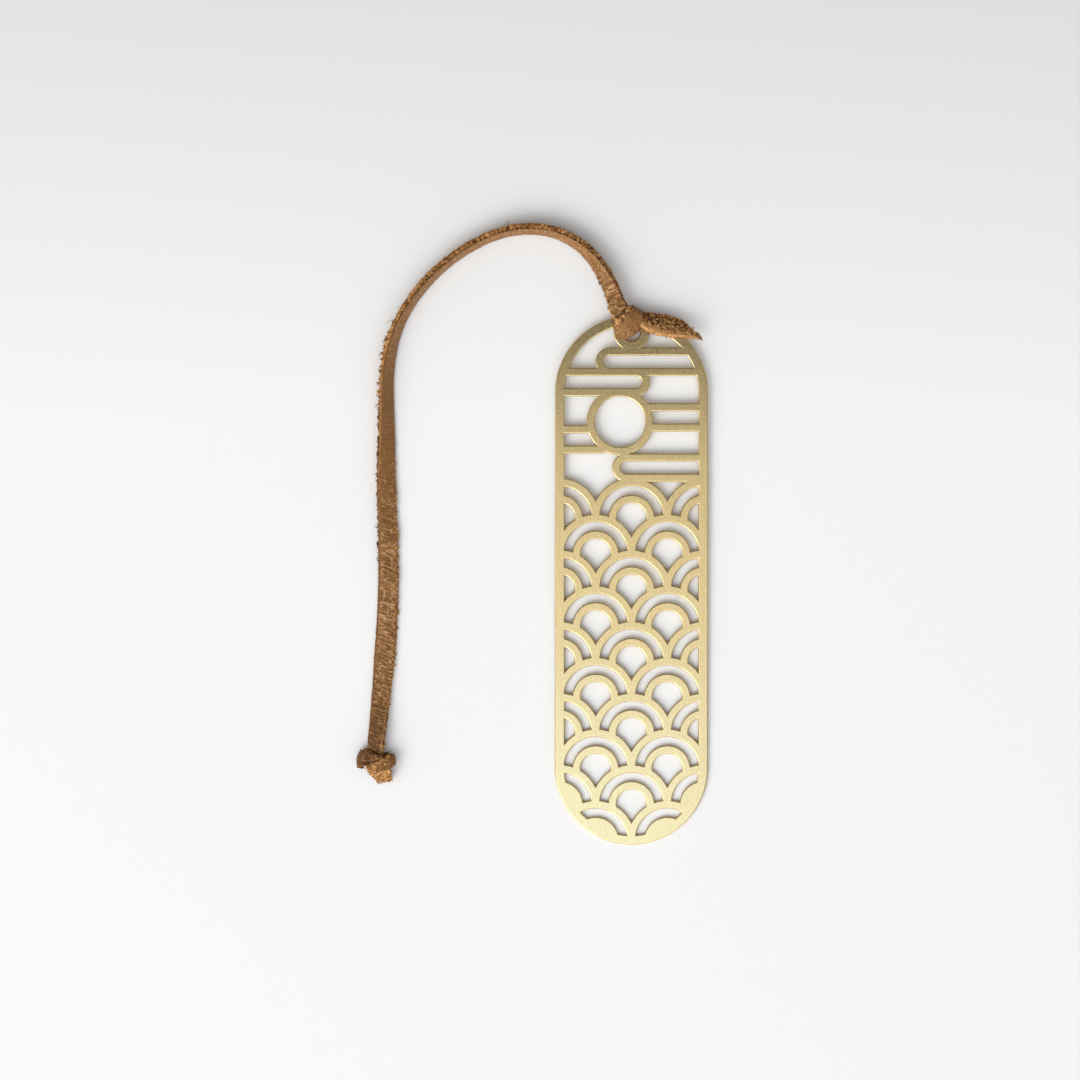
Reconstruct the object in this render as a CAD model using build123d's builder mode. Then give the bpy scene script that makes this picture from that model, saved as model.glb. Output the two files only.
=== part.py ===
from build123d import *
import os
from math import asin, cos, degrees, radians, sin, sqrt, tan

# Brass plate: an oblong with round ends, cut through into openwork; openings below an area stay solid
plate_length = 120.0
plate_width = 34.7
plate_thickness = 0.8
rim_width = 2.2
line_width = 1.9
least_opening = 4.0

# Hole for the lace, in a lobe of the rim, with a bridge of metal above it
hole_radius = 1.9
bridge_width = 1.9
eyelet_wall = 2.2

# Waves: rows of half circles, each standing on the crowns of the row below, with a ripple inside each
waves_across = 2
wave_rows = 10
ripple_step = 3.8

# Moon: a ring in the sky, with bands of mist that come in from the two sides
moon_radius = 7.6
moon_x = -2.6
moon_y = 36.0
mist_height = 6.5
# each band: the side it comes from, the height of its middle and where its round end lies
mist_bands = [
    (1, 25.6, -4.4),
    (-1, 32.0, -4.0),
    (1, 37.0, 1.0),
    (-1, 45.0, 4.2),
    (1, 49.6, -8.2),
]

# Leather lace: a flat strip, hitched round the bridge
lace_width = 4.0
lace_thickness = 1.3
face_gap = 0.05
hole_clearance = 0.15
edge_clearance = 0.1
swivel_left = 15.0
swivel_right = 20.0
hole_cover = 0.8
loop_bend = 0.9

# Hitch: where the free lace leaves it and which way, and the cut tail beside it
exit_x = -1.65
exit_y = 63.05
exit_heading = 115.6
first_run = 6.75
exit_rolls = [0.0, 22.0]
neck_length = 6.0
tail_root_low = 56.9
tail_root_high = 60.5
tail_tip_x = 15.6
tail_tip_y = 54.7
tail_tip_width = 0.8

# Free lace: x, y, clearance under its lower edge, and roll; a positive roll lifts the edge on its right hand
lace_route = [
    (-10.2, 76.4, 0.35, 50.0),
    (-18.0, 80.4, 0.05, 66.0),
    (-27.0, 80.9, 0.05, 72.0),
    (-36.2, 78.2, 0.05, 72.0),
    (-44.2, 72.6, 0.05, 72.0),
    (-50.5, 65.2, 0.05, 68.0),
    (-54.9, 56.4, 0.05, 60.0),
    (-56.8, 46.4, 0.05, 50.0),
    (-56.5, 35.2, 0.05, 38.0),
    (-56.0, 23.0, 0.05, 24.0),
    (-55.5, 10.6, 0.05, 4.0),
    (-55.3, -2.0, 0.05, -12.0),
    (-55.8, -14.4, 0.05, -17.0),
    (-56.7, -26.6, 0.05, -18.0),
    (-58.1, -38.0, 0.05, -18.0),
]
arc_share = 0.45
stations_per_run = 4

# End knot: three crossing layers of the strip, outlined to the right of the lace's end and ahead of it
knot_layer = 1.4
knot_bend = 0.35
knot_rest = 0.05
cut_end = [(2.4, 0), (2.6, 3.6), (0.9, 6.6), (0.0, 8.4), (-3.4, 7.3), (-3.6, 5.6), (-4.3, 2.7), (-2.4, 0)]
cross_fold = [(2.4, 0), (3.4, 0.6), (4.2, 3.2), (3.4, 4.6), (0.5, 4.9), (-4.2, 4.4), (-3.9, 1.1), (-2.4, 0)]
outer_fold = [(2.4, 0), (3.4, 0.3), (4.3, 3.4), (4.0, 4.8), (2.6, 4.4), (-1.5, 3.0), (-2.4, 1.4), (-2.4, 0)]

os.makedirs("parts", exist_ok=True)

# The strip under the bridge lifts the plate's top end, so the plate lies on a slightly tilted plane
hole_y = plate_length / 2 - bridge_width - hole_radius
loop_south = hole_y - hole_cover
loop_lift = lace_thickness + 2 * face_gap
rest_tilt = asin(loop_lift / (plate_length / 2 + loop_south))
plate_plane = Plane(
    origin=(0, 0, plate_length / 2 * sin(rest_tilt)),
    x_dir=(1, 0, 0),
    z_dir=(0, -sin(rest_tilt), cos(rest_tilt)),
)
side_plane = Plane(origin=plate_plane.origin, x_dir=plate_plane.y_dir, z_dir=plate_plane.x_dir)

# Mist and moon, drawn on the flat
with BuildSketch() as sky:
    for side, band_y, band_end in mist_bands:
        band_length = abs(side * plate_width - band_end)
        with Locations((band_end + side * band_length / 2, band_y)):
            SlotOverall(band_length, mist_height)
            SlotOverall(band_length - 2 * line_width, mist_height - 2 * line_width, mode=Mode.SUBTRACT)
    with Locations((moon_x, moon_y)):
        Circle(moon_radius)
        Circle(moon_radius - line_width, mode=Mode.SUBTRACT)

# Waves and ripples, drawn on the flat; a ripple's feet reach down to the wave below
wave_radius = (plate_width - rim_width) / waves_across / 2
ripple_radius = wave_radius - ripple_step
ripple_drop = wave_radius - sqrt(wave_radius**2 - ripple_step**2)
ripple_foot = degrees(asin(ripple_drop / ripple_radius))
first_row_y = -plate_length / 2 + rim_width / 2

with BuildSketch() as sea:
    for row in range(wave_rows):
        crests = waves_across + row % 2
        row_y = first_row_y + row * wave_radius
        for crest in range(crests):
            crest_x = (2 * crest - crests + 1) * wave_radius
            with BuildLine():
                CenterArc((crest_x, row_y), wave_radius, 0, 180)
            trace(line_width=line_width)
            with BuildLine():
                CenterArc((crest_x, row_y), ripple_radius, -ripple_foot, 180 + 2 * ripple_foot)
            trace(line_width=line_width)

# The sheet: rim, eyelet lobe, sky and sea in one outline
with BuildPart() as brass_plate:
    with BuildSketch(plate_plane) as openwork:
        add(sky.sketch)
        add(sea.sketch)
        SlotOverall(plate_length - rim_width, plate_width - rim_width, rotation=90, mode=Mode.INTERSECT)
        with BuildSketch(mode=Mode.PRIVATE) as rim:
            SlotOverall(plate_length, plate_width, rotation=90)
            SlotOverall(plate_length - 2 * rim_width, plate_width - 2 * rim_width, rotation=90, mode=Mode.SUBTRACT)
        add(rim.sketch)
        with Locations((0, hole_y)):
            Circle(hole_radius + eyelet_wall)
        SlotOverall(plate_length, plate_width, rotation=90, mode=Mode.INTERSECT)
        for opening in openwork.sketch_local.face().inner_wires():
            if Face(opening).area < least_opening:
                add(Face(opening))
        with Locations((0, hole_y)):
            Circle(hole_radius, mode=Mode.SUBTRACT)
    extrude(amount=plate_thickness)
brass_plate.part.label = "brass_plate"
export_step(brass_plate.part, "parts/brass_plate.step")

# Loop of the hitch: the strip over the bridge, round the plate's top edge and back under it, and in the hole.
# It stands clear of the top edge by what the edge comes nearer when the hitch swings about the hole.
end_radius = plate_width / 2
end_centre_to_hole = hole_y - (plate_length / 2 - end_radius)
swing = radians(max(swivel_left, swivel_right))
edge_offset = max(0, end_centre_to_hole * sin(swing) - lace_width / 2)
edge_reach = sqrt(end_radius**2 - edge_offset**2) - end_centre_to_hole * cos(swing)
limb_inner = hole_y + edge_reach + edge_clearance
limb_outer = limb_inner + lace_thickness
bridge_space = plate_thickness + 2 * face_gap

with BuildPart() as hitch_loop:
    with BuildSketch(side_plane):
        with Locations(((loop_south + limb_outer) / 2, plate_thickness / 2)):
            Rectangle(limb_outer - loop_south, bridge_space + 2 * lace_thickness)
        with Locations(((loop_south + limb_inner) / 2, plate_thickness / 2)):
            Rectangle(limb_inner - loop_south, bridge_space, mode=Mode.SUBTRACT)
    extrude(amount=lace_width / 2, both=True)
    fillet(hitch_loop.edges().filter_by(Axis.X).sort_by(Axis.Y)[-2:], loop_bend)
    with BuildSketch(plate_plane.offset(-face_gap)):
        with Locations((0, hole_y)):
            Circle(hole_radius - hole_clearance)
        with Locations((0, loop_south)):
            Rectangle(lace_width, 2 * hole_radius, align=(Align.CENTER, Align.MIN), mode=Mode.INTERSECT)
    extrude(amount=bridge_space)
hitch_loop.part.label = "hitch_loop"
export_step(hitch_loop.part, "parts/hitch_loop.step")

# Cut tail: lies on the plate beside the loop, and narrows to a slanting tip
with BuildPart() as lace_tail:
    with BuildSketch(plate_plane.offset(plate_thickness + face_gap)):
        with BuildLine():
            Polyline(
                (lace_width / 2, tail_root_low),
                (tail_tip_x, tail_tip_y - tail_tip_width / 2),
                (tail_tip_x, tail_tip_y + tail_tip_width / 2),
                (lace_width / 2, tail_root_high),
                close=True,
            )
        make_face()
    extrude(amount=lace_thickness)
lace_tail.part.label = "lace_tail"
export_step(lace_tail.part, "parts/lace_tail.step")


def lace_section(point, heading, roll):
    """Plane across the lace: its x runs along the strip's width to the right hand, its z along the lace."""
    right = heading.cross(Vector(0, 0, 1)).normalized()
    up = right.cross(heading).normalized()
    return Plane(origin=point, x_dir=right * cos(radians(roll)) + up * sin(radians(roll)), z_dir=heading)


# Route of the free lace: it leaves the hitch along the plate, comes down and then lies on its lower edge
neck_height = plate_thickness + 2 * face_gap + 1.5 * lace_thickness
exit_point = plate_plane.from_local_coords((exit_x, exit_y, neck_height))
second_x = exit_x + first_run * cos(radians(exit_heading))
second_y = exit_y + first_run * sin(radians(exit_heading))
second_point = plate_plane.from_local_coords((second_x, second_y, neck_height))
route_points = [exit_point, second_point]
route_rolls = list(exit_rolls)
for x, y, clearance, roll in lace_route:
    half_height = (lace_width * abs(sin(radians(roll))) + lace_thickness * cos(radians(roll))) / 2
    route_points.append(Vector(x, y, clearance + half_height))
    route_rolls.append(roll)

runs = [end - start for start, end in zip(route_points, route_points[1:])]
radii = []
for before, after in zip(runs, runs[1:]):
    turn = radians(before.get_angle(after))
    radii.append(arc_share * min(before.length, after.length) / tan(turn / 2))
with BuildLine() as lace_path:
    FilletPolyline(*route_points, radius=radii)
lace_wire = lace_path.wire()


def roll_at(share):
    """Roll at a share of the lace's length, in a straight line between the two nearest route points."""
    place = share * sum(run.length for run in runs)
    for run, start_roll, end_roll in zip(runs, route_rolls, route_rolls[1:]):
        if place <= run.length:
            break
        place -= run.length
    return start_roll + (end_roll - start_roll) * min(1, place / run.length)


# Standing end of the lace where it lies on the loop
exit_direction = runs[0].normalized()
with BuildPart() as hitch_neck:
    with BuildSketch(lace_section(exit_point, exit_direction, exit_rolls[0])):
        Rectangle(lace_width, lace_thickness)
    extrude(amount=-neck_length)
hitch_neck.part.label = "hitch_neck"
export_step(hitch_neck.part, "parts/hitch_neck.step")

# Free lace: the strip carried along its route, turning from flat to its edge and back
stations = stations_per_run * len(runs)
with BuildPart() as lace_run:
    for station in range(stations + 1):
        share = station / stations
        with BuildSketch(lace_section(lace_wire @ share, lace_wire % share, roll_at(share))):
            Rectangle(lace_width, lace_thickness)
    loft(ruled=True)
lace_run.part.label = "lace_run"
export_step(lace_run.part, "parts/lace_run.step")

# End knot: the strip's cut end and two folds, laid over each other where the lace ends
knot_plane = Plane(
    origin=(lace_route[-1][0], lace_route[-1][1], knot_rest),
    x_dir=runs[-1].cross(Vector(0, 0, 1)),
    z_dir=(0, 0, 1),
)
with BuildPart() as end_knot:
    for layer, outline in enumerate([cut_end, cross_fold, outer_fold]):
        with BuildSketch(knot_plane.offset(layer * knot_layer)):
            with BuildLine():
                Polyline(*outline, close=True)
            make_face()
        extrude(amount=knot_layer)
    fillet(end_knot.faces().sort_by(Axis.Z)[-1].edges(), knot_bend)
end_knot.part.label = "end_knot"
export_step(end_knot.part, "parts/end_knot.step")

swivel_point = plate_plane.from_local_coords((0, hole_y, plate_thickness / 2))
print("lace radii, mm:", [round(radius, 1) for radius in radii])
print("lace length, mm:", round(lace_wire.length, 2))
print("lace volume over section times length:", lace_run.part.volume / (lace_width * lace_thickness * lace_wire.length))
print("plate tilt, degrees:", degrees(rest_tilt))
print("swivel at", swivel_point, "along", plate_plane.z_dir)
print("lace leaves the hitch at", exit_point, "along", exit_direction)
print("route points", [tuple(round(value, 3) for value in point) for point in route_points])
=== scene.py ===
import bmesh
import bpy
import numpy as np
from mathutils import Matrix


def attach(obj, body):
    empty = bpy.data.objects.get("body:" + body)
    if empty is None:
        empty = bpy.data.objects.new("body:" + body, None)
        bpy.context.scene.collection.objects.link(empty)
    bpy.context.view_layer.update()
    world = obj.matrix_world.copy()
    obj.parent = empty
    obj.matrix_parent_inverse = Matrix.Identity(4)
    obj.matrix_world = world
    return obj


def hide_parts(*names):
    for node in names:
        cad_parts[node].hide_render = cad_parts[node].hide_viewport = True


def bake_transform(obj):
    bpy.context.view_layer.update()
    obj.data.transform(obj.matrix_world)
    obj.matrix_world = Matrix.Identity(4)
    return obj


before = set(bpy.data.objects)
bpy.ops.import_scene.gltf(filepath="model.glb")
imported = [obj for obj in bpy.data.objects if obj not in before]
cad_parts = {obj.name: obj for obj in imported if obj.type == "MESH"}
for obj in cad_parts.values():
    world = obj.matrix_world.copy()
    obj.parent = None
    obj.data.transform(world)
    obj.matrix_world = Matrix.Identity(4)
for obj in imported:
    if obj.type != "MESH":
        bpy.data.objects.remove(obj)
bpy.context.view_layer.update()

# Brass plate
# A sheet of brass cut through into openwork, with its cut edges eased by tumbling.
# It lies on its lower end and on the strap that goes round the bridge above its hole.
MM = 0.001
edge_ease = 0.27 * MM
ease_segments = 3
sharp_corner = np.radians(40)
flat_enough = np.radians(1)
weld_distance = 0.002 * MM


def linear(hex_colour):
    """sRGB hex to linear RGBA: c/12.92 up to 0.04045, ((c + 0.055)/1.055)^2.4 above it."""
    value = np.array([int(hex_colour[place:place + 2], 16) for place in (1, 3, 5)]) / 255
    value = np.where(value <= 0.04045, value / 12.92, ((value + 0.055) / 1.055) ** 2.4)
    return (*value, 1.0)


def add_node(tree, kind, links=None, **settings):
    """Adds a node, sets its properties, then fills its inputs: a socket is linked, a value is set."""
    node = tree.nodes.new(kind)
    for name, value in settings.items():
        setattr(node, name, value)
    for name, value in (links or {}).items():
        if isinstance(value, bpy.types.NodeSocket):
            tree.links.new(value, node.inputs[name])
        else:
            node.inputs[name].default_value = value
    return node


def new_material(name):
    """A material with an empty node tree and its output."""
    material = bpy.data.materials.new(name)
    material.use_nodes = True
    material.node_tree.nodes.clear()
    return material, material.node_tree, add_node(material.node_tree, "ShaderNodeOutputMaterial")


# Satin brass sheet, tumbled: a fine speckle in tone and gloss, with faint brush marks along the sheet
brass_deep = "#D2B883"
brass_pale = "#E1CB96"
speckle_size = 0.42 * MM
brush_width = 0.22 * MM
brush_length = 9.0 * MM
brush_share = 0.3
speckle_depth = 0.012 * MM

satin_brass, tree, output = new_material("satin tumbled brass")
place = add_node(tree, "ShaderNodeTexCoord").outputs["Object"]
speckle = add_node(
    tree, "ShaderNodeTexNoise", {"Vector": place, "Scale": 1 / speckle_size, "Detail": 3.0, "Roughness": 0.65}
).outputs["Fac"]
brush_space = add_node(
    tree,
    "ShaderNodeMapping",
    {"Vector": place, "Scale": (1 / brush_width, 1 / brush_length, 1 / brush_width)},
).outputs["Vector"]
brush = add_node(
    tree, "ShaderNodeTexNoise", {"Vector": brush_space, "Scale": 1.0, "Detail": 2.0}
).outputs["Fac"]
grit = add_node(
    tree, "ShaderNodeMix", {"Factor": brush_share, "A": speckle, "B": brush}, data_type="FLOAT"
).outputs["Result"]
tone = add_node(
    tree, "ShaderNodeMapRange", {"Value": grit, "From Min": 0.36, "From Max": 0.64}
).outputs["Result"]
brass_colour = add_node(
    tree,
    "ShaderNodeMix",
    {"Factor": tone, "A": linear(brass_deep), "B": linear(brass_pale)},
    data_type="RGBA",
).outputs["Result"]
gloss = add_node(
    tree,
    "ShaderNodeMapRange",
    {"Value": speckle, "From Min": 0.3, "From Max": 0.7, "To Min": 0.14, "To Max": 0.21},
).outputs["Result"]
dents = add_node(
    tree, "ShaderNodeBump", {"Height": grit, "Distance": speckle_depth, "Strength": 0.8}
).outputs["Normal"]
shader = add_node(
    tree,
    "ShaderNodeBsdfPrincipled",
    {"Base Color": brass_colour, "Metallic": 1.0, "Roughness": gloss, "Normal": dents},
)
tree.links.new(shader.outputs["BSDF"], output.inputs["Surface"])

sheet_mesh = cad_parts["brass_plate"].data.copy()
sheet_mesh.materials.clear()
sheet_mesh.materials.append(satin_brass)
shaping = bmesh.new()
shaping.from_mesh(sheet_mesh)
bmesh.ops.remove_doubles(shaping, verts=shaping.verts, dist=weld_distance)
bmesh.ops.dissolve_limit(shaping, angle_limit=flat_enough, verts=shaping.verts, edges=shaping.edges)
shaping.to_mesh(sheet_mesh)
shaping.free()
sheet_mesh.shade_smooth()
plate_sheet = bpy.data.objects.new("plate_sheet", sheet_mesh)
bpy.context.collection.objects.link(plate_sheet)
easing = plate_sheet.modifiers.new("eased edges", "BEVEL")
easing.width = edge_ease
easing.segments = ease_segments
easing.limit_method = "ANGLE"
easing.angle_limit = sharp_corner
easing.loop_slide = False
easing.use_clamp_overlap = False
level_faces = plate_sheet.modifiers.new("level faces", "WEIGHTED_NORMAL")
level_faces.mode = "FACE_AREA"
level_faces.weight = 100
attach(plate_sheet, "plate")
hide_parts("brass_plate")

# Leather lace
# A flat strip cut from tan hide: smooth grain on one face, rough flesh on the other, two cut edges that fray.
# Its standing end comes out from under the hitch's wrap, stands on edge round the bend and lies down again.
station_step = 0.17

# each row: x and y, clearance under the lower edge, roll, width and thickness, in mm and degrees; a positive
# roll lifts the edge on the right hand
lace_route = [
    (-1.3, 58.6, 2.5, 0.0, 3.3, 1.2),
    (-2.85, 60.8, 2.5, -14.0, 4.4, 1.2),
    (-3.9, 63.95, 2.7, 0.0, 3.8, 1.2),
    (-5.0, 66.9, 2.1, 26.0, 3.6, 1.2),
    (-7.0, 70.8, 1.1, 46.0, 3.8, 1.2),
    (-10.9, 75.7, 0.3, 65.0, 4.2, 1.25),
    (-18.1, 79.5, 0.05, 75.0, 4.4, 1.3),
    (-26.9, 79.7, 0.05, 77.0, 4.4, 1.3),
    (-35.4, 76.6, 0.05, 77.0, 4.4, 1.3),
    (-43.1, 71.2, 0.05, 77.0, 4.4, 1.25),
    (-49.4, 64.4, 0.05, 74.0, 4.4, 1.15),
    (-53.9, 56.2, 0.05, 66.0, 4.4, 1.05),
    (-55.7, 46.4, 0.05, 56.0, 4.4, 0.9),
    (-55.4, 35.3, 0.05, 45.0, 4.3, 0.85),
    (-55.6, 23.0, 0.05, 33.0, 4.4, 0.95),
    (-55.2, 10.6, 0.05, 20.0, 4.4, 1.05),
    (-55.2, -2.0, 0.05, 0.0, 4.4, 0.95),
    (-55.8, -14.4, 0.05, -1.0, 4.6, 0.85),
    (-56.8, -25.0, 0.05, -4.0, 4.3, 0.95),
    (-57.4, -31.6, 0.15, -15.0, 4.0, 1.2),
    (-57.9, -36.2, 0.6, -22.0, 3.9, 1.35),
    (-58.3, -40.4, 1.3, -8.0, 3.2, 1.1),
]


def route_line(rows):
    """Points of the NURBS line whose control points are the rows' places, as Blender works them out."""
    line = bpy.data.curves.new("route", "CURVE")
    line.dimensions = "3D"
    spline = line.splines.new("NURBS")
    spline.points.add(len(rows) - 1)
    spline.points.foreach_set("co", np.hstack([rows, np.ones((len(rows), 1))]).ravel())
    spline.order_u = 3
    spline.use_endpoint_u = True
    spline.resolution_u = 32
    holder = bpy.data.objects.new("route", line)
    mesh = bpy.data.meshes.new_from_object(holder)
    points = np.empty(len(mesh.vertices) * 3)
    mesh.vertices.foreach_get("co", points)
    bpy.data.objects.remove(holder)
    bpy.data.curves.remove(line)
    bpy.data.meshes.remove(mesh)
    return points.reshape(-1, 3)


def run_length(points):
    """Distance along a line of points, from its first point to each of them."""
    return np.concatenate([[0.0], np.cumsum(np.linalg.norm(np.diff(points, axis=0), axis=1))])


def unit(vectors):
    """Vectors divided by their lengths."""
    return vectors / np.linalg.norm(vectors, axis=-1, keepdims=True)


def ease(share):
    """3t² − 2t³ between 0 and 1."""
    share = np.clip(share, 0.0, 1.0)
    return share * share * (3 - 2 * share)


noise_cells = 256


def soft_noise(seed, u, v):
    """Smooth noise from −1 to 1: seeded values at whole numbers of u and v, eased between them."""
    table = np.random.default_rng(seed).uniform(-1, 1, (noise_cells, noise_cells))
    column = np.floor(u).astype(int)
    row = np.floor(v).astype(int)
    across = ease(u - column)
    up = ease(v - row)
    left = column % noise_cells
    right = (column + 1) % noise_cells
    low = row % noise_cells
    high = (row + 1) % noise_cells
    lower = table[left, low] * (1 - across) + table[right, low] * across
    upper = table[left, high] * (1 - across) + table[right, high] * across
    return lower * (1 - up) + upper * up


# Section of the strip, as a closed loop: grain face, right cut edge, flesh face, left cut edge
face_steps = 22
flesh_steps = 10
edge_steps = 8
edge_round = 0.16
edge_square = 0.6
rim_start = 0.5
upper_edge_start = 0.1
edge_fade = 0.4
edge_angle = np.linspace(np.pi / 2, -np.pi / 2, edge_steps)
edge_cos = np.cos(edge_angle)
edge_sin = np.sin(edge_angle)
edge_up = np.sign(edge_sin) * np.abs(edge_sin) ** edge_square
edge_across = 1 - edge_round + edge_round * edge_cos**edge_square
face_across = np.linspace(edge_round - 1, 1 - edge_round, face_steps + 2)[1:-1]
flesh_across = np.linspace(1 - edge_round, edge_round - 1, flesh_steps + 2)[1:-1]
face_ones = np.ones(face_steps)
flesh_ones = np.ones(flesh_steps)
section_across = np.concatenate([face_across, edge_across, flesh_across, -edge_across[::-1]])
section_up = np.concatenate([face_ones, edge_up, -flesh_ones, edge_up[::-1]])
section_out = np.concatenate([0 * face_ones, edge_cos, 0 * flesh_ones, -edge_cos[::-1]])
section_rise = np.concatenate([face_ones, edge_sin, -flesh_ones, edge_sin[::-1]])
is_grain = np.concatenate([face_ones, np.zeros(2 * edge_steps + flesh_steps)])
is_flesh = np.concatenate([np.zeros(face_steps + edge_steps), flesh_ones, np.zeros(edge_steps)])
is_edge = 1 - is_grain - is_flesh
is_rim = is_edge * ease((section_up - rim_start) / edge_fade)
is_upper_edge = is_edge * ease((section_up - upper_edge_start) / edge_fade)
right_hand = section_across > 0

# Roughness of the strip: sizes and depths in mm, the rest shares and tones; a fray of bare_fray or more
# leaves no grain on the upper part of a cut edge
shag_size = 0.6
curl_size = 0.28
shag_share = 0.2
curl_share = 0.85
grit_share = 0.35
crease_spacing = 0.42
crease_length = 1.8
crease_drift = 0.12
crease_width = 0.3
hollow_fade = 0.4
hollow_share = 0.5
stretch_spacing = 0.6
stretch_length = 3.5
stretch_width = 0.2
stretch_share = 0.5
swell_length = 2.6
swell_width = 1.9
smooth_swell = 0.04
wrinkled_swell = 0.25
fold_share = 0.5
fray_depth = 0.17
nap_depth = 0.13
face_bulge = 0.08
fold_paling = 0.9
face_darkening = 0.05
# Painted light and shade on the right-hand cut edge: the lip is painted paler, and the rim paints shade along
# the edge's top next to the grain, and a highlight there instead where the rim is negative
lip_painted_light = 0.3
edge_painted_shading = 0.05
rim_painted_shading = 0.9
bare_fray = 1.4
full_wrinkle = 0.3
lip_radius = 0.9
floor_clearance = 0.02 * MM


def strap(
    seed,
    path,
    side,
    normal,
    width,
    thickness,
    wrinkle,
    slant=0.3,
    fray=1.0,
    rim=0.0,
    tone=0.0,
    lip=0.0,
    crown=0.0,
):
    """The section carried along a path: path + side · x + normal · z, with x and z the section times half
    the strip's width and thickness, pushed outwards by fray on the edges, nap on the flesh and wrinkles on
    the grain. Both edges then drop by the crown, or the right-hand one, which the rim darkens, is bent up
    round lip_radius by the lip's angle. Path in metres, the rest in mm, each one value or one for each point
    of the path; fray and tone may also differ round the section."""
    along = run_length(path)[:, None] / MM
    width, thickness, wrinkle, slant, rim, lip, crown = [
        np.broadcast_to(value, len(path))[:, None]
        for value in (width, thickness, wrinkle, slant, rim, lip, crown)
    ]
    across = section_across * width / 2
    up = section_up * thickness / 2
    across_step = np.diff(across, prepend=across[:, :1])
    up_step = np.diff(up, prepend=up[:, :1])
    around = np.cumsum(np.hypot(across_step, up_step), axis=1)
    shag = soft_noise(seed, along / shag_size, around / shag_size)
    curls = soft_noise(seed + 1, along / curl_size, around / curl_size)
    grit = np.random.default_rng(seed + 2).uniform(-1, 1, across.shape)
    rough = shag_share * shag + curl_share * curls + grit_share * grit
    nap = rough * np.minimum(thickness, 1)
    crease_along = along / crease_spacing + slant * across
    crease_across = across / crease_length - crease_drift * along
    crease = np.abs(soft_noise(seed + 3, crease_along, crease_across))
    stretch = np.abs(soft_noise(seed + 4, along / stretch_length, across / stretch_spacing))
    swell = soft_noise(seed + 5, along / swell_length, across / swell_width)
    ridge = np.maximum(ease(1 - crease / crease_width), stretch_share * ease(1 - stretch / stretch_width))
    fold = ridge - hollow_share * ease((crease - crease_width) / hollow_fade)
    # painted shade along the top of the right-hand edge, a painted highlight where the rim is negative;
    # painted light on the lip
    rim_shade = rim * (edge_painted_shading + rim_painted_shading * is_rim)
    edge_tone = rough * fray + right_hand * (lip_painted_light * lip - rim_shade)
    grain_tone = fold_paling * fold - face_darkening
    relief = is_edge * edge_tone + is_flesh * nap + is_grain * grain_tone + tone
    wrinkles = fold_share * wrinkle * fold + (smooth_swell + wrinkled_swell * wrinkle) * swell
    push = is_edge * fray_depth * rough * fray + is_flesh * nap_depth * nap
    push = push + is_grain * (wrinkles + face_bulge * (1 - section_across**2))
    x = across + section_out * push
    z = up + section_rise * push - crown * section_across**2
    over = np.maximum(x - width / 2 + lip_radius * lip, 0) * (lip > 0)
    bend = over / lip_radius
    x = x - over + (lip_radius - z) * np.sin(bend)
    z = lip_radius - (lip_radius - z) * np.cos(bend)
    points = path[:, None] + (side[:, None] * x[..., None] + normal[:, None] * z[..., None]) * MM
    points[..., 2] = np.maximum(points[..., 2], floor_clearance)
    place = np.stack([np.broadcast_to(along, across.shape), across, up], axis=-1)
    covered = np.maximum(is_rim, is_upper_edge * np.clip(bare_fray - fray, 0, 1))
    grain = is_grain + covered * (1 - right_hand * np.clip(np.abs(rim) + lip, 0, 1))
    wear = np.broadcast_to(wrinkle / full_wrinkle, across.shape)
    return points, place, grain, relief, wear


def strap_faces(stations):
    """Quads between neighbouring sections, and one face over each end, all looking outwards."""
    loop = len(section_across)
    first = np.arange(stations - 1)[:, None] * loop
    here = np.arange(loop)
    after = (here + 1) % loop
    corners = [first + here, first + after, first + loop + after, first + loop + here]
    quads = np.stack(corners, axis=-1).reshape(-1, 4)
    return [*quads.tolist(), here[::-1].tolist(), ((stations - 1) * loop + here).tolist()]


# Loose fibres: three rings of three corners and a tip, at these shares of a fibre, with painted shade at the
# root and a painted highlight towards its tip; the angle in degrees at which one leaves the surface, and how
# far its turn, girth and length vary
fibre_stops = np.array([0.0, 0.45, 0.85, 1.0])
stop_corners = [3, 3, 3, 1]
stop_painted_shading = [-0.5, 0.0, 0.2, 0.3]
ring_sides = [(0, 1), (1, 2), (2, 0)]
lift_range = (45, 100)
turn_range = (0.6, 1.3)
girth_range = (0.7, 1.3)
length_spread = 0.3
root_depth = 0.1 * MM


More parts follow.
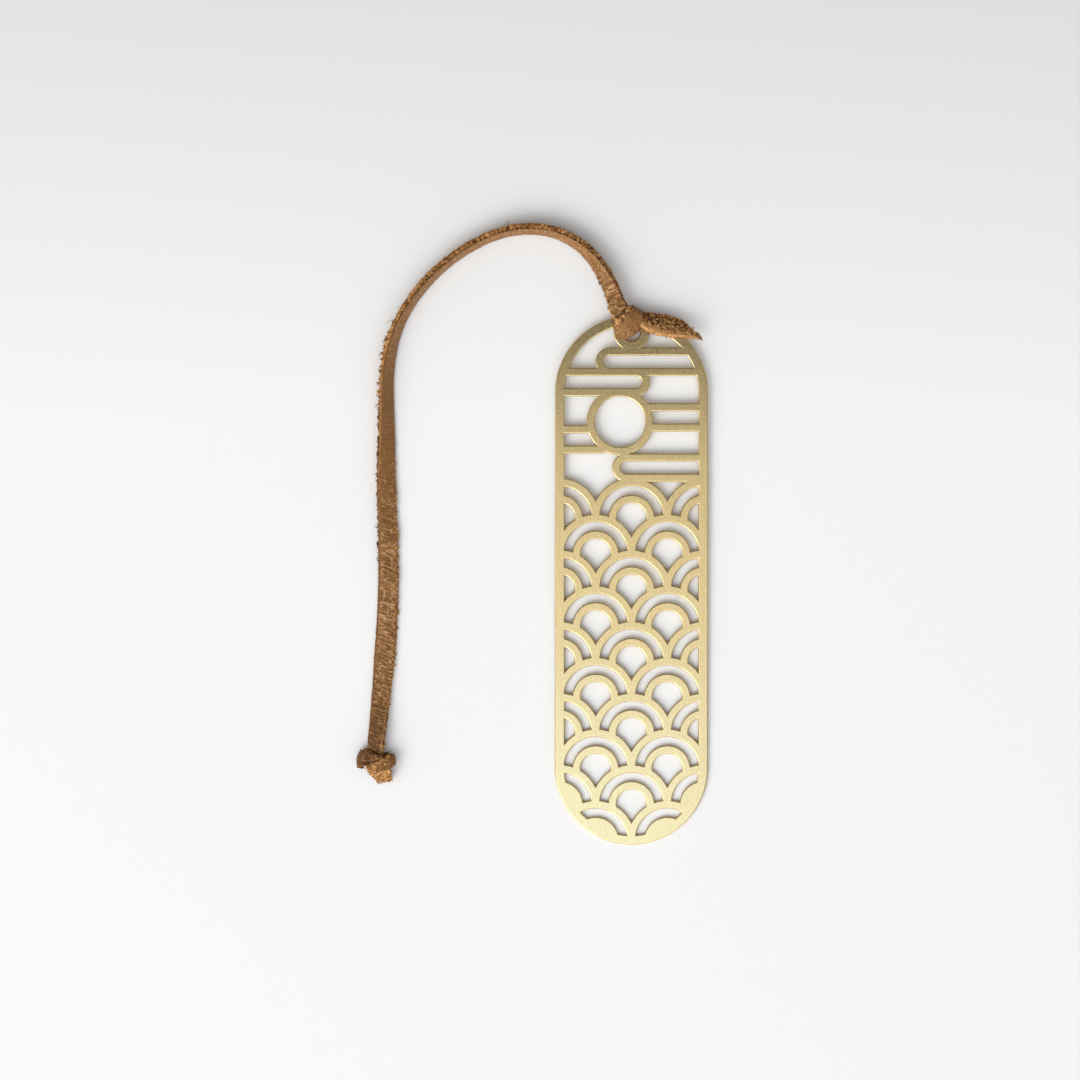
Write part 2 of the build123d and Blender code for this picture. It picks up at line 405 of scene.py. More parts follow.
def fibres(rng, surface, share, count, length, girth, curl, tone=(-0.6, 0.9), taper=(1.0, 0.95, 0.7)):
    """Loose fibres that curl over a strap's surface, three-sided and blunt. Each is an arc that starts at an
    angle a above the surface and turns by k:
    root + size/k · (away · (sin a − sin(a − kt)) + out · (cos(a − kt) − cos a)).
    Roots are drawn in proportion to share, a weight for each point of the surface; curl is k in degrees."""
    points, place = surface[:2]
    stations, loop = share.shape
    root = rng.choice(stations * loop, count, p=(share / share.sum()).ravel())
    station = root // loop
    corner = root % loop
    ahead = points[np.minimum(station + 1, stations - 1), corner] - points[np.maximum(station - 1, 0), corner]
    around = points[station, (corner + 1) % loop] - points[station, corner - 1]
    out = unit(np.cross(unit(around), unit(ahead)))
    away = rng.normal(size=(count, 3))
    away = unit(away - out * np.sum(away * out, axis=1, keepdims=True))
    sideways = np.cross(out, away)
    start_angle = np.radians(rng.uniform(*lift_range, count))[:, None]
    turn = np.radians(curl * rng.uniform(*turn_range, count))[:, None]
    size = (length * rng.lognormal(0.0, length_spread, count) * MM)[:, None]
    radius = (girth * rng.uniform(*girth_range, count) * MM / 2)[:, None]
    angle = start_angle - turn * fibre_stops[:, None, None]
    reach = np.sin(start_angle) - np.sin(angle)
    rise = np.cos(angle) - np.cos(start_angle)
    spine = points[station, corner] - out * root_depth + size / turn * (reach * away + rise * out)
    upright = np.cos(angle) * out - np.sin(angle) * away
    corner_angle = np.arange(3) * 2 * np.pi / 3
    level_part = np.cos(corner_angle)[:, None] * sideways[:, None]
    upright_part = np.sin(corner_angle)[:, None] * upright[:, :, None]
    ring = level_part + upright_part
    rings = spine[:3, :, None] + ring[:3] * radius[:, None] * np.array(taper)[:, None, None, None]
    vertices = np.concatenate([*rings, spine[3][:, None]], axis=1)
    vertices[..., 2] = np.maximum(vertices[..., 2], floor_clearance)
    corners_each = sum(stop_corners)
    spot = np.repeat(place[station, corner][:, None] + rng.normal(size=(count, 1, 3)), corners_each, axis=1)
    shade = rng.uniform(*tone, (count, 1)) + np.repeat(stop_painted_shading, stop_corners)
    first = np.arange(count)[:, None] * corners_each
    sides = [
        [low + here, low + after, low + after + 3, low + here + 3]
        for low in (0, 3)
        for here, after in ring_sides
    ]
    caps = [[6 + here, 6 + after, 9] for here, after in ring_sides] + [[2, 1, 0]]
    faces = [face for corners in sides + caps for face in (first + np.array(corners)).tolist()]
    return vertices.reshape(-1, 3), spot.reshape(-1, 3), shade.ravel(), faces


def leather_piece(name, surface, fuzz):
    """Joins a strap and its fibres into one mesh. Its attributes keep each point's place on the strip,
    whether it is grain (1), rough leather (0) or a loose fibre (−1), its relief and how worn its grain is."""
    points, place, grain, relief, wear = surface
    vertices = [points.reshape(-1, 3)]
    places = [place.reshape(-1, 3)]
    grains = [grain.ravel()]
    reliefs = [relief.ravel()]
    wears = [wear.ravel()]
    faces = strap_faces(len(points))
    for fibre_points, fibre_places, fibre_shade, fibre_faces in fuzz:
        offset = sum(len(block) for block in vertices)
        faces += [[corner + offset for corner in face] for face in fibre_faces]
        vertices.append(fibre_points)
        places.append(fibre_places)
        grains.append(np.full(len(fibre_points), -1.0))
        reliefs.append(fibre_shade)
        wears.append(np.zeros(len(fibre_points)))
    mesh = bpy.data.meshes.new(name)
    mesh.from_pydata(np.concatenate(vertices), [], faces)
    strip = mesh.attributes.new("strip", "FLOAT_VECTOR", "POINT")
    strip.data.foreach_set("vector", np.concatenate(places).ravel())
    for label, values in (("grain", grains), ("relief", reliefs), ("wear", wears)):
        mesh.attributes.new(label, "FLOAT", "POINT").data.foreach_set("value", np.concatenate(values))
    mesh.shade_smooth()
    mesh.materials.append(tan_leather)
    piece = bpy.data.objects.new(name, mesh)
    bpy.context.collection.objects.link(piece)
    return piece


# Tan side leather, drum dyed and cut to strips: a dull, creased grain that pales where it is worn, and matt
# suede-like flesh and edges, with painted shade in their hollows, brown, and painted light, orange, where the
# fibres stand up
grain_hollow = "#5F3D1E"
grain_face = "#906538"
grain_crease = "#BF966C"
suede_deep = "#3C2410"
suede_mid = "#986634"
suede_pale = "#D4A168"
fleck_size = 0.42
mottle_size = 2.4
nap_size = 0.3
bump_depth = 0.1 * MM

tan_leather, tree, output = new_material("tan lace leather")
strip = add_node(tree, "ShaderNodeAttribute", attribute_name="strip").outputs["Vector"]
grain_share = add_node(tree, "ShaderNodeAttribute", attribute_name="grain").outputs["Fac"]
relief = add_node(tree, "ShaderNodeAttribute", attribute_name="relief").outputs["Fac"]
wear = add_node(tree, "ShaderNodeAttribute", attribute_name="wear").outputs["Fac"]
fleck = add_node(
    tree, "ShaderNodeTexNoise", {"Vector": strip, "Scale": 1 / fleck_size, "Detail": 3.0, "Roughness": 0.6}
).outputs["Fac"]
mottle = add_node(
    tree, "ShaderNodeTexNoise", {"Vector": strip, "Scale": 1 / mottle_size, "Detail": 5.0, "Roughness": 0.7}
).outputs["Fac"]
nap = add_node(
    tree, "ShaderNodeTexNoise", {"Vector": strip, "Scale": 1 / nap_size, "Detail": 2.0}
).outputs["Fac"]
fleck_depth = add_node(
    tree, "ShaderNodeMapRange", {"Value": wear, "To Min": 3.0, "To Max": 2.5}
).outputs["Result"]
fleck_rise = add_node(tree, "ShaderNodeMath", {0: fleck, 1: 0.5}, operation="SUBTRACT").outputs["Value"]
flecks = add_node(
    tree, "ShaderNodeMath", {0: fleck_rise, 1: fleck_depth}, operation="MULTIPLY"
).outputs["Value"]
worn_relief = add_node(
    tree, "ShaderNodeMath", {0: relief, 1: wear, 2: flecks}, operation="MULTIPLY_ADD"
).outputs["Value"]
# Low relief takes the hollow colour: painted shade in the grain's hollows and on the lace's last stretch
# before the knot, as well as the random dark flecks
hollow = add_node(
    tree, "ShaderNodeMapRange", {"Value": worn_relief, "From Min": 0.1, "From Max": -0.7}
).outputs["Result"]
crease = add_node(
    tree, "ShaderNodeMapRange", {"Value": worn_relief, "From Min": 0.25, "From Max": 0.75}
).outputs["Result"]
grain_tone = add_node(
    tree,
    "ShaderNodeMix",
    {"Factor": hollow, "A": linear(grain_face), "B": linear(grain_hollow)},
    data_type="RGBA",
).outputs["Result"]
grain_colour = add_node(
    tree,
    "ShaderNodeMix",
    {"Factor": crease, "A": grain_tone, "B": linear(grain_crease)},
    data_type="RGBA",
).outputs["Result"]
# On the flesh and edges low relief takes the deep colour as painted shade and high relief the pale colour as
# painted light, varied at random by the mottle
mottled_relief = add_node(
    tree, "ShaderNodeMath", {0: mottle, 1: 1.2, 2: relief}, operation="MULTIPLY_ADD"
).outputs["Value"]
suede_lift = add_node(
    tree, "ShaderNodeMapRange", {"Value": mottled_relief, "From Min": -0.2, "From Max": 0.6}
).outputs["Result"]
suede_low = add_node(
    tree,
    "ShaderNodeMix",
    {"Factor": suede_lift, "A": linear(suede_deep), "B": linear(suede_mid)},
    data_type="RGBA",
).outputs["Result"]
suede_tip = add_node(
    tree, "ShaderNodeMapRange", {"Value": mottled_relief, "From Min": 0.6, "From Max": 1.4}
).outputs["Result"]
suede_colour = add_node(
    tree,
    "ShaderNodeMix",
    {"Factor": suede_tip, "A": suede_low, "B": linear(suede_pale)},
    data_type="RGBA",
).outputs["Result"]
leather_colour = add_node(
    tree,
    "ShaderNodeMix",
    {"Factor": grain_share, "A": suede_colour, "B": grain_colour},
    data_type="RGBA",
).outputs["Result"]
height = add_node(
    tree, "ShaderNodeMix", {"Factor": grain_share, "A": nap, "B": fleck}, data_type="FLOAT"
).outputs["Result"]
bumps = add_node(
    tree, "ShaderNodeBump", {"Height": height, "Distance": bump_depth, "Strength": 0.7}
).outputs["Normal"]
gloss = add_node(
    tree, "ShaderNodeMapRange", {"Value": grain_share, "To Min": 0.92, "To Max": 0.6}
).outputs["Result"]
shader = add_node(
    tree,
    "ShaderNodeBsdfPrincipled",
    {"Base Color": leather_colour, "Roughness": gloss, "Normal": bumps, "Specular IOR Level": 0.25},
)
tree.links.new(shader.outputs["BSDF"], output.inputs["Surface"])

# The lace's line, and at each station of it the way across the strip and out of its grain
rows = np.array(lace_route)
roll = np.radians(rows[:, 3])
half_height = (rows[:, 4] * np.abs(np.sin(roll)) + rows[:, 5] * np.cos(roll)) / 2
lace_points = np.column_stack([rows[:, 0], rows[:, 1], rows[:, 2] + half_height]) * MM
line = route_line(lace_points)
line_run = run_length(line)
stations = int(line_run[-1] / (station_step * MM))
station_run = np.linspace(0, line_run[-1], stations)
path = np.column_stack([np.interp(station_run, line_run, line[:, axis]) for axis in range(3)])
row_run = run_length(lace_points)
row_share = row_run / row_run[-1]
station_roll, width, thickness = [
    np.interp(station_run / line_run[-1], row_share, values) for values in (roll, rows[:, 4], rows[:, 5])
]
heading = unit(np.gradient(path, axis=0))
right = unit(np.cross(heading, [0.0, 0.0, 1.0]))
above = np.cross(right, heading)
side = right * np.cos(station_roll)[:, None] + above * np.sin(station_roll)[:, None]
normal = above * np.cos(station_roll)[:, None] - right * np.sin(station_roll)[:, None]

# The strip was cut by hand, so its width and thickness drift over some millimetres
along = station_run / MM
steady = np.ones(stations)
width_drift = 0.03
width_drift_length = 7.0
thickness_drift = 0.06
thickness_drift_length = 6.0
width = width * (1 + width_drift * soft_noise(10, along / width_drift_length, steady))
thickness = thickness * (1 + thickness_drift * soft_noise(11, along / thickness_drift_length, steady))


def begins_at(start, reach):
    """A share for each station of the lace: 0 up to the start, eased to 1 over the reach; both in mm."""
    return ease((along - start) / reach)


def ends_at(end, reach):
    """A share for each station of the lace: eased from 1 to 0 over the reach before the end; both in mm."""
    return ease((end - along) / reach)


# Stretches of the lace that look different: creased by the hitch and low down, smooth at the bend and painted
# paler there as painted light, with tufts, then shag on the outer edge where it comes down, and lumps on the
# inner edge from there on; its last stretch before the knot is painted darker as painted shade
out_of_wrap = begins_at(3.5, 1.5)[:, None]
near_hitch = ends_at(18, 8)
bend_run = begins_at(2, 4) * ends_at(88, 12)
high_bend = bend_run * begins_at(15, 5)
tuft_run = begins_at(70, 8) * ends_at(112, 16)
tuft_zone = begins_at(69, 5) * ends_at(100, 14)
shaggy_zone = begins_at(86, 6) * ends_at(130, 16)
lumpy_run = begins_at(92, 24)
lower_run = begins_at(100, 25)
painted_shade_end = begins_at(148, 16)
inner_edge = is_edge * ~right_hand
outer_edge = is_edge * right_hand
corner_top = 0.3
outer_corner = outer_edge * (section_up < corner_top)

# Each setting of the strip: its value on plain lace and what it gains or loses on these stretches
wrinkle = 0.05 + 0.21 * near_hitch + 0.2 * lower_run
slant = 0.2 + 0.7 * lower_run
outer_fray = (1.1 + 0.1 * bend_run - 0.5 * tuft_run - 0.7 * lower_run)[:, None]
inner_fray = (0.4 + 0.6 * near_hitch + 0.7 * lower_run)[:, None]
fray = np.where(right_hand, outer_fray, inner_fray)
# Painted light and shade in the tone: the grain is painted paler at the bend, where it faces the light, and a
# little paler by the hitch; all but the edges is painted darker before the knot, where the strip turns from
# the light
tone = (
    -0.7 * painted_shade_end[:, None] * (1 - is_edge)
    + 0.4 * near_hitch[:, None] * inner_edge
    + tuft_run[:, None] * (0.3 * outer_edge - 0.4 * inner_edge)
    - 0.4 * lower_run[:, None] * outer_edge
    + (1.2 * high_bend + 0.12 * near_hitch)[:, None] * is_grain
)
surface = strap(
    20, path, side, normal, width, thickness, wrinkle, slant=slant, fray=fray, rim=bend_run, tone=tone
)

# Fuzz: short fibres on both edges, tufts and shag on the outer one, lumps on the inner one, a few long hairs
# round the bend, and a nap on the flesh; lengths and girths in mm, curl in degrees
rng = np.random.default_rng(30)
tuft_spacing = (1.1, 1.9)
tuft_count = 115
tuft_width = 0.13
tufts = np.cumsum(rng.uniform(*tuft_spacing, tuft_count))
tuft_reach = np.exp(-(((along[:, None] - tufts) / tuft_width) ** 2)).max(axis=1)[:, None]
edge_share = is_edge * fray**2 * out_of_wrap
tuft_share = outer_corner * tuft_reach * tuft_zone[:, None]
shag_zone_share = outer_corner * shaggy_zone[:, None]
hitch_tuft_share = inner_edge * tuft_reach * near_hitch[:, None] * out_of_wrap
lump_share = inner_edge * lumpy_run[:, None]
hair_share = outer_corner * high_bend[:, None]
nap_share = is_flesh * out_of_wrap
tuft_taper = (1.0, 0.7, 0.3)
fuzz = [
    fibres(rng, surface, edge_share, count=3300, length=0.33, girth=0.13, curl=150, tone=(-0.4, 1.0)),
    fibres(
        rng,
        surface,
        tuft_share,
        count=56,
        length=1.1,
        girth=0.42,
        curl=115,
        tone=(-0.3, 0.6),
        taper=tuft_taper,
    ),
    fibres(rng, surface, shag_zone_share, count=420, length=0.66, girth=0.26, curl=140, tone=(-0.9, 0.4)),
    fibres(rng, surface, hitch_tuft_share, count=60, length=0.8, girth=0.28, curl=190, tone=(-0.9, 0.2)),
    fibres(rng, surface, lump_share, count=600, length=0.7, girth=0.33, curl=190, tone=(-0.1, 0.9)),
    fibres(rng, surface, hair_share, count=16, length=1.1, girth=0.12, curl=60),
    fibres(rng, surface, nap_share, count=300, length=0.5, girth=0.14, curl=150),
]
lace_strap = leather_piece("lace_strap", surface, fuzz)
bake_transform(lace_strap)
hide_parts("lace_run", "hitch_neck")

# Hitch
# The same strip goes down through the hole, under the bridge, round the plate's top edge and across its own
# standing end, grain outwards, and is tucked under; pulled tight, its upper edge curls into a frayed lip.
wrap_stations = 190

# each row: place, the way the grain looks, width, thickness and the angle of the lip, in mm and degrees
wrap_rows = [
    (-1.3, 59.2, 3.1, 0.1, -0.2, 1.0, 3.3, 1.1, 0),
    (-0.6, 57.9, 3.05, 0.0, -0.5, 0.9, 3.2, 1.1, 0),
    (-0.2, 56.9, 2.4, 0.0, -1.0, 0.3, 3.0, 1.1, 0),
    (0.0, 56.7, 1.4, 0.0, -1.0, -0.2, 2.9, 1.1, 0),
    (0.3, 57.2, 0.8, 0.0, -0.6, -0.8, 3.1, 1.1, 0),
    (0.7, 58.5, 0.7, 0.0, 0.0, -1.0, 3.4, 1.1, 0),
    (1.1, 60.0, 0.7, 0.0, 0.1, -1.0, 3.5, 1.1, 0),
    (1.0, 60.8, 1.0, 0.3, 0.7, -0.65, 3.3, 1.1, 0),
    (0.95, 61.15, 2.1, 0.42, 0.9, 0.1, 3.2, 1.1, 10),
    (0.85, 60.95, 3.4, 0.35, 0.7, 0.65, 3.3, 1.3, 60),
    (0.55, 60.2, 4.2, 0.15, 0.35, 0.95, 4.1, 1.4, 75),
    (0.0, 58.9, 4.55, 0.1, -0.05, 1.0, 4.9, 1.4, 78),
    (-1.15, 57.4, 4.5, -0.1, -0.2, 1.0, 5.3, 1.4, 78),
    (-2.6, 56.75, 3.95, -0.5, -0.45, 0.75, 4.5, 1.4, 68),
    (-3.3, 56.5, 3.1, -0.95, -0.35, 0.1, 3.5, 1.1, 20),
    (-2.8, 56.7, 2.7, -0.5, -0.1, -0.85, 3.0, 0.9, 0),
]


def carried_rows(rows, count):
    """Rows carried through smoothly: each column is a Catmull-Rom curve through its values, evenly timed."""
    rows = np.array(rows)
    spans = len(rows) - 1
    time = np.linspace(0, spans, count)
    span = np.minimum(time.astype(int), spans - 1)
    part = (time - span)[:, None]
    padded = np.vstack([2 * rows[0] - rows[1], rows, 2 * rows[-1] - rows[-2]])
    before, start, end, after = padded[span], padded[span + 1], padded[span + 2], padded[span + 3]
    bend = 2 * before - 5 * start + 4 * end - after
    return start + part / 2 * (end - before + part * (bend + part * (3 * (start - end) + after - before)))


def folded_strap(seed, rows, count, **form):
    """A strap whose rows, carried to a count of stations, give its place, the way its grain looks, its width
    and thickness and the angle of its lip, in mm and degrees."""
    carried = carried_rows(rows, count)
    path = carried[:, :3] * MM
    heading = unit(np.gradient(path, axis=0))
    side = unit(np.cross(heading, carried[:, 3:6]))
    normal = np.cross(side, heading)
    width, thickness, lip = carried[:, 6:].T
    return strap(seed, path, side, normal, width, thickness, lip=np.radians(np.maximum(lip, 0)), **form)


# Only the half of the wrap on top of the plate is fuzzy: this rises from 0 to 1 just past the wrap's middle
on_top = ease(np.linspace(-7.0, 6.0, wrap_stations))[:, None]
lip_fray = 1.7
plain_fray = 0.9
wrap_fray = np.where(right_hand, lip_fray, plain_fray)
# The lip's cut edge is painted paler, as painted light
surface = folded_strap(40, wrap_rows, wrap_stations, wrinkle=0.04, fray=wrap_fray)
rng = np.random.default_rng(50)
lip_share = is_edge * right_hand * on_top
plain_share = is_edge * ~right_hand * on_top
fuzz = [
    fibres(rng, surface, lip_share, count=420, length=0.5, girth=0.18, curl=160, tone=(-1.0, 0.9)),
    fibres(rng, surface, plain_share, count=160, length=0.35, girth=0.15, curl=160),
]
hitch_wrap = leather_piece("hitch_wrap", surface, fuzz)
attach(hitch_wrap, "hitch")
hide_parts("hitch_loop")

# Cut tail
# The strip's other end, flesh side up, lies over the plate beside the hitch and leans, its lower edge raised.
# It was cut off on a slant, to a point, and its flesh is left shaggy.
tail_stations = 120
tail_rows = [
    (0.4, 59.3, 3.5, 0.0, -0.35, -0.95, 3.2, 1.1, 0),
    (2.6, 58.9, 3.85, 0.0, -0.45, -0.9, 3.9, 1.2, 0),
    (5.6, 57.95, 4.25, 0.0, -0.52, -0.86, 5.3, 1.3, 0),
    (8.2, 57.4, 4.3, 0.0, -0.52, -0.86, 5.4, 1.3, 0),
    (10.5, 56.95, 4.2, 0.0, -0.53, -0.86, 4.6, 1.25, 0),
    (12.2, 56.2, 4.05, 0.0, -0.55, -0.85, 3.0, 1.1, 0),
    (13.7, 55.55, 3.9, 0.0, -0.5, -0.85, 1.6, 0.85, 0),
    (15.0, 55.05, 3.75, 0.0, -0.45, -0.9, 0.8, 0.5, 0),
    (16.0, 54.3, 3.6, 0.0, -0.4, -0.9, 0.2, 0.25, 0),
]

# The fray fades out over the last quarter, towards the tip, and the fuzz also leaves out the part inside the
# hitch; the flesh is dark, with pale curls on it; its flesh, its fibres and its cut edge are painted paler
# towards the raised edge, which faces the light, as painted light, and the tip is painted paler over its own
# shading
clear_of_tip = ease(np.linspace(4.0, 0.0, tail_stations))[:, None]
clear_of_ends = clear_of_tip * ease(np.linspace(-1.7, 11.7, tail_stations))[:, None]
raised_edge = is_edge * ~right_hand
raised_side = ease(-section_across)
tone = 0.8 * raised_edge + is_flesh * (1.2 * raised_side - 0.5) + 0.5 * (1 - clear_of_tip)
surface = folded_strap(60, tail_rows, tail_stations, wrinkle=0.05, fray=clear_of_tip, tone=tone)
rng = np.random.default_rng(70)
edge_share = is_edge * clear_of_ends
raised_share = raised_edge * clear_of_ends
dark_share = is_flesh * (1 - raised_side) * clear_of_ends
pale_share = is_flesh * (0.45 + raised_side) * clear_of_ends**3
fuzz = [
    fibres(rng, surface, edge_share, count=360, length=0.36, girth=0.16, curl=160, tone=(-0.3, 0.9)),
    fibres(rng, surface, raised_share, count=200, length=0.5, girth=0.28, curl=190, tone=(0.3, 1.1)),
    fibres(rng, surface, dark_share, count=260, length=0.7, girth=0.17, curl=150, tone=(-1.0, 0.0)),
    fibres(rng, surface, pale_share, count=400, length=0.95, girth=0.25, curl=210, tone=(0.5, 1.3)),
]
tail_strap = leather_piece("tail_strap", surface, fuzz)
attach(tail_strap, "hitch")
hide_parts("lace_tail")

# End knot
# The free end is tied in a tight overhand knot: a collar of the strip goes round the lace, grain outwards,
# a fold stands out on the right, and the cut end sticks out below with its flesh side up.
collar_rows = [
    (-54.9, -39.7, 1.1, 0.0, 0.1, -1.0, 1.5, 1.1, 0),
    (-57.0, -40.2, 0.9, 0.0, 0.1, -1.0, 2.2, 1.1, 0),
    (-58.8, -40.9, 0.9, 0.0, 0.0, -1.0, 2.6, 1.1, 0),
    (-60.6, -40.5, 0.9, -0.3, 0.0, -0.95, 3.0, 1.1, 0),
    (-61.7, -40.6, 1.5, -1.0, 0.1, -0.15, 3.9, 1.1, 0),
    (-61.3, -39.9, 2.4, -0.7, 0.5, 0.55, 3.6, 1.1, 0),
    (-60.5, -39.75, 3.1, -0.25, 0.55, 0.8, 4.0, 1.1, 0),
    (-59.3, -39.85, 3.6, 0.0, 0.5, 0.85, 3.3, 1.1, 0),
    (-58.0, -39.95, 3.7, 0.15, 0.4, 0.9, 2.1, 1.1, 0),
    (-56.9, -39.95, 3.4, 0.5, 0.3, 0.8, 1.0, 1.0, 0),
    (-56.4, -40.1, 2.4, 0.9, 0.2, 0.3, 0.6, 0.9, 0),
]
wing_rows = [
    (-56.4, -40.9, 0.75, 0.0, 0.0, -1.0, 2.6, 1.1, 0),
    (-54.9, -40.8, 0.9, 0.5, 0.0, -0.9, 2.6, 1.1, 0),
    (-54.0, -40.7, 1.9, 1.0, 0.1, 0.0, 2.6, 1.0, 0),
    (-54.4, -40.6, 2.9, 0.5, 0.3, 0.85, 2.5, 0.9, 35),
    (-55.5, -41.5, 3.3, 0.0, 0.3, 0.95, 2.4, 0.8, 50),
    (-56.9, -41.8, 3.2, -0.2, 0.3, 0.95, 2.4, 0.9, 50),
    (-58.3, -42.3, 2.6, -0.3, 0.2, 0.95, 2.0, 1.0, 45),
]
cut_end_rows = [
    (-58.6, -40.5, 2.2, -0.2, -0.5, -0.8, 3.4, 1.0, 0),
    (-58.1, -41.3, 2.8, 0.0, -0.2, -0.95, 4.4, 1.1, 0),
    (-57.3, -42.4, 2.9, 0.0, 0.25, -0.95, 4.6, 1.1, 0),
    (-56.6, -43.5, 2.4, 0.0, 0.4, -0.9, 4.3, 1.1, 0),
    (-56.2, -44.55, 1.7, 0.0, 0.35, -0.93, 3.7, 1.1, 0),
    (-56.05, -45.45, 1.15, 0.0, 0.2, -1.0, 3.1, 1.0, 0),
]


def share_of(part, count):
    """The same weight on every station, for the points of one part of the section."""
    return np.tile(part, (count, 1))


# each fold of the knot: its name, rows, count of stations, form and seed
# Painted light and shade on the folds: the collar is painted darker as shade, where it faces away from the
# light, and its rim paints a dark line along its edge; the wing's negative rim and its lip paint a highlight
# on its lit right edge, and the cut end is painted paler as painted light where it faces the lamps
knot_folds = [
    ("knot_collar", collar_rows, 120, {"wrinkle": 0.17, "crown": 0.35, "rim": 0.8, "tone": -0.7}, 80),
    ("knot_wing", wing_rows, 90, {"wrinkle": 0.14, "crown": 0.2, "rim": -0.6, "fray": 0.7, "tone": -0.4}, 90),
    ("knot_cut_end", cut_end_rows, 70, {"wrinkle": 0.1, "fray": 1.3, "tone": 0.4}, 100),
]
for name, rows, count, form, seed in knot_folds:
    surface = folded_strap(seed, rows, count, **form)
    rng = np.random.default_rng(seed + 6)
    edge_share = share_of(is_edge, count)
    nap_share = share_of(is_flesh, count)
    fuzz = [
        fibres(rng, surface, edge_share, count=240, length=0.45, girth=0.18, curl=160),
        fibres(rng, surface, nap_share, count=400, length=0.42, girth=0.14, curl=150, tone=(-0.5, 0.8)),
    ]
    piece = leather_piece(name, surface, fuzz)
    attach(piece, "lace")
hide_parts("end_knot")

# Stage
# A matt white board, painted greyer in the north as painted shade, in a grey room that is dark in the north,
# under
# soft light from the south: a lamp in the south-west, two panels overhead that end above the object, a strip
# north of them and a small blue skylight.
board_half = 2.0

# Matt white board with painted shade: a little greyer north of the object, where less light falls
board_south = "#EEEDEB"
board_middle = "#F0EFED"
board_north_painted_shade = "#DCDCD9"
middle_stop = 0.62
painted_shade_reach = 0.15

board, tree, output = new_material("matt white board")
place = add_node(tree, "ShaderNodeTexCoord").outputs["Object"]
board_y = add_node(tree, "ShaderNodeSeparateXYZ", {"Vector": place}).outputs["Y"]
board_share = add_node(
    tree, "ShaderNodeMapRange", {"Value": board_y, "From Min": -painted_shade_reach, "From Max": painted_shade_reach}
).outputs["Result"]
board_tone = add_node(tree, "ShaderNodeValToRGB", {"Fac": board_share})
board_tone.color_ramp.elements[0].color = linear(board_south)
board_tone.color_ramp.elements[1].color = linear(board_north_painted_shade)
board_tone.color_ramp.elements.new(middle_stop).color = linear(board_middle)
shader = add_node(
    tree,
    "ShaderNodeBsdfPrincipled",
    {"Base Color": board_tone.outputs["Color"], "Roughness": 0.9, "Specular IOR Level": 0.1},
)
tree.links.new(shader.outputs["BSDF"], output.inputs["Surface"])
floor_mesh = bpy.data.meshes.new("floor")
floor_corners = np.array([(-1, -1, 0), (1, -1, 0), (1, 1, 0), (-1, 1, 0)]) * board_half
floor_mesh.from_pydata(floor_corners, [], [(0, 1, 2, 3)])
floor_mesh.materials.append(board)
floor = bpy.data.objects.new("floor", floor_mesh)
bpy.context.collection.objects.link(floor)


def add_lamp(name, place, aim, size, power, colour="#FFFFFF"):
    """A rectangular lamp at a place, turned to look at a point; metres and watts."""
    lamp = bpy.data.lights.new(name, "AREA")
    lamp.shape = "RECTANGLE"
    lamp.size = size[0]
    lamp.size_y = size[1]
    lamp.energy = power
    lamp.color = linear(colour)[:3]
    holder = bpy.data.objects.new(name, lamp)
    back = unit(np.array(place) - np.array(aim))
    across = unit(np.cross([0.0, 1.0, 0.0] if abs(back[2]) > 0.9 else [0.0, 0.0, 1.0], back))
    turn = np.eye(4)
    turn[:3, 0] = across
    turn[:3, 1] = np.cross(back, across)
    turn[:3, 2] = back
    turn[:3, 3] = place
    holder.matrix_world = turn.T
    bpy.context.collection.objects.link(holder)


panel_size = (2.8, 2.4)
add_lamp("south-west lamp", (-1.2, -1.25, 1.5), aim=(0.0, 0.0, 0.0), size=(1.5, 1.5), power=24.4)
add_lamp("overhead panel", (-0.4, -1.105, 1.8), aim=(-0.4, -1.105, 0.0), size=panel_size, power=21.9)
add_lamp("second panel", (-0.4, -1.34, 1.8), aim=(-0.4, -1.34, 0.0), size=panel_size, power=11.4)
add_lamp("north strip", (-0.4, 0.75, 1.8), aim=(-0.4, 0.75, 0.0), size=(2.8, 0.8), power=2.6)
add_lamp("skylight", (-0.12, -0.48, 1.7), (-0.12, -0.48, 0.0), size=(0.6, 0.6), power=1.1, colour="#5CB3FF")

# The room: a bright window side in the south-south-west, and walls that are lightest half way up and dark in
# the north
window_side = (-0.45, -0.89, 0.0)
wall_foot = "#303030"
wall_middle = "#C4C4C4"
wall_top = "#383838"
foot_stop = 0.18
middle_stops = (0.36, 0.62)
top_stop = 0.85

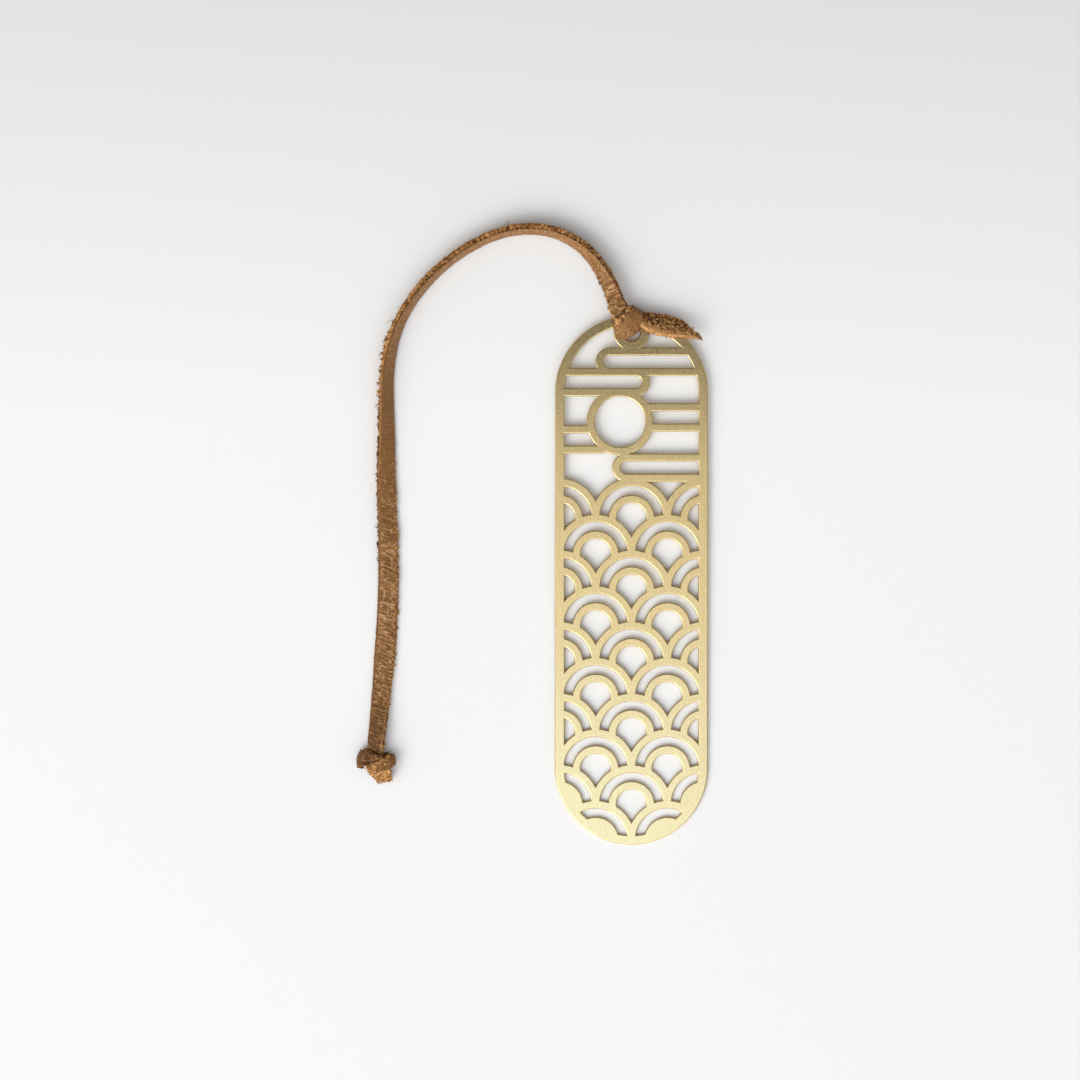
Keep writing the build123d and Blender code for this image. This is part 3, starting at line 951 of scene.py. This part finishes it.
world = bpy.data.worlds.new("studio")
world.use_nodes = True
tree = world.node_tree
tree.nodes.clear()
output = add_node(tree, "ShaderNodeOutputWorld")
aim = add_node(tree, "ShaderNodeTexCoord").outputs["Generated"]
southing = add_node(
    tree, "ShaderNodeVectorMath", {0: aim, 1: window_side}, operation="DOT_PRODUCT"
).outputs["Value"]
window = add_node(
    tree, "ShaderNodeMapRange", {"Value": southing, "From Min": 0.0, "From Max": 0.4, "To Max": 0.86}
).outputs["Result"]
aim_parts = add_node(tree, "ShaderNodeSeparateXYZ", {"Vector": aim})
walls = add_node(tree, "ShaderNodeValToRGB", {"Fac": aim_parts.outputs["Z"]})
walls.color_ramp.elements[0].position = foot_stop
walls.color_ramp.elements[1].position = top_stop
walls.color_ramp.elements[0].color = linear(wall_foot)
walls.color_ramp.elements[1].color = linear(wall_top)
for stop in middle_stops:
    walls.color_ramp.elements.new(stop).color = linear(wall_middle)
sides = add_node(
    tree,
    "ShaderNodeMapRange",
    {"Value": aim_parts.outputs["Y"], "From Min": 0.6, "From Max": 0.8, "To Min": 1.0, "To Max": 0.2},
).outputs["Result"]
side_walls = add_node(
    tree, "ShaderNodeMath", {0: walls.outputs["Color"], 1: sides}, operation="MULTIPLY"
).outputs["Value"]
level = add_node(tree, "ShaderNodeMath", {0: window, 1: side_walls}, operation="MAXIMUM").outputs["Value"]
light = add_node(tree, "ShaderNodeBackground", {"Color": linear("#FFFFFF"), "Strength": level})
tree.links.new(light.outputs["Background"], output.inputs["Surface"])
bpy.context.scene.world = world

# Camera straight above the object, at the height where its frame is this wide on an 85 mm lens
frame_width = 245.5 * MM
frame_centre = np.array([-20.75, 9.2]) * MM
camera_data = bpy.data.cameras.new("camera")
camera_data.sensor_width = 36.0
camera_data.lens = 85.0
camera = bpy.data.objects.new("camera", camera_data)
camera.location = (*frame_centre, frame_width * camera_data.lens / camera_data.sensor_width)
bpy.context.collection.objects.link(camera)
bpy.context.scene.camera = camera
bpy.context.scene.view_settings.view_transform = "Standard"
